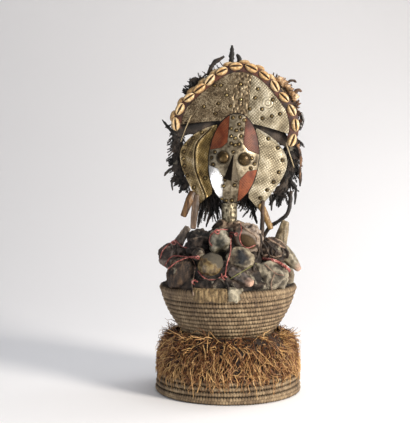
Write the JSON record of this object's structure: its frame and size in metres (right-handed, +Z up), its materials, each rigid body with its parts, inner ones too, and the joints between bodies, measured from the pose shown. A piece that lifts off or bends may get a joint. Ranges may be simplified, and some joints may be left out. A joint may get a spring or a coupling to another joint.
{
  "type": "kota reliquary figure",
  "caption": "Kota guardian figure: sheet-metal covered wooden head with a cowrie crest, standing in a relic bundle in a coiled basket on a fringed basket base.",
  "frame": {"origin": "middle of the base basket's underside", "axes": "+Z up along the figure, -Y towards the viewer's side of the face, +X to the viewer's right"},
  "size_m": [0.2423, 0.242, 0.5717],
  "materials": {
    "basket": "coiled cane with aged stitching",
    "straw": "loose dry raffia",
    "wood": "dark aged wood",
    "brass_brown": "punched sheet, brown patina",
    "brass_gold": "punched sheet, worn gold",
    "brass_pale": "punched sheet, pale and worn",
    "copper": "engraved copper sheet, red-brown",
    "bright_sheet": "bright rubbed sheet",
    "dark_metal": "dark smooth metal",
    "cowrie": "cream shells on a brown leather band",
    "crusted_leather": "dark hide with grey crust",
    "bark": "fibrous bark",
    "clay": "dry cracked clay crust",
    "nutshell": "hard shell, partly rubbed smooth",
    "horn": "dry horn with a paler tip",
    "feather": "black and brown feathers and fur",
    "red_cord": "thin twisted red cord"
  },
  "bodies": {
    "root": {"base_basket": "basket", "bowl_basket": "basket", "straw_fringe": "straw", "wooden_figure": "wood", "crescent_sheet_left": "brass_brown", "crescent_sheet_middle": "brass_brown", "crescent_sheet_right": "brass_pale", "lobe_sheet_left_outer": "brass_gold", "lobe_sheet_left_inner": "brass_gold", "lobe_sheet_right": "brass_pale", "face_cross": "brass_brown", "face_panel_upper_left": "copper", "face_panel_upper_right": "copper", "face_panel_lower_left": "bright_sheet", "face_panel_lower_right": "copper", "eye_left": "dark_metal", "eye_right": "dark_metal", "nose": "dark_metal", "cowrie_band": "cowrie", "neck_sheet": "brass_pale", "bundle_pack": "crusted_leather", "neck_wrap": "crusted_leather", "horn_front": "horn", "seed_front": "nutshell", "bark_pouch_left": "bark", "clay_packet_right": "clay", "crusted_lump_middle": "clay", "half_nut_upper_right": "nutshell", "gourd_upper": "nutshell", "small_lump_right": "clay", "knob_left": "crusted_leather", "horn_right_tip": "horn", "horn_right_upright": "horn", "horn_left": "horn", "packet_upper_left": "crusted_leather", "dark_packet_left": "crusted_leather", "leather_roll_right": "crusted_leather", "bark_flap_rim": "bark", "crusted_flap_rim": "clay", "pendant_left": "horn", "pendant_left_inner": "horn", "pendant_right": "horn", "stem_right": "bark", "tail_right": "feather", "claw_right": "horn", "feathers_left": "feather", "feathers_under_left": "feather", "feathers_under_right": "feather", "feathers_right": "feather", "feathers_top": "feather", "feathers_upper_left": "feather", "feather_tuft_right": "feather", "cord_left_upper": "red_cord", "cord_left_lower": "red_cord", "cord_seed": "red_cord", "cord_middle": "red_cord", "cord_nut": "red_cord", "cord_right_thick": "red_cord"}
  },
  "joints": []
}
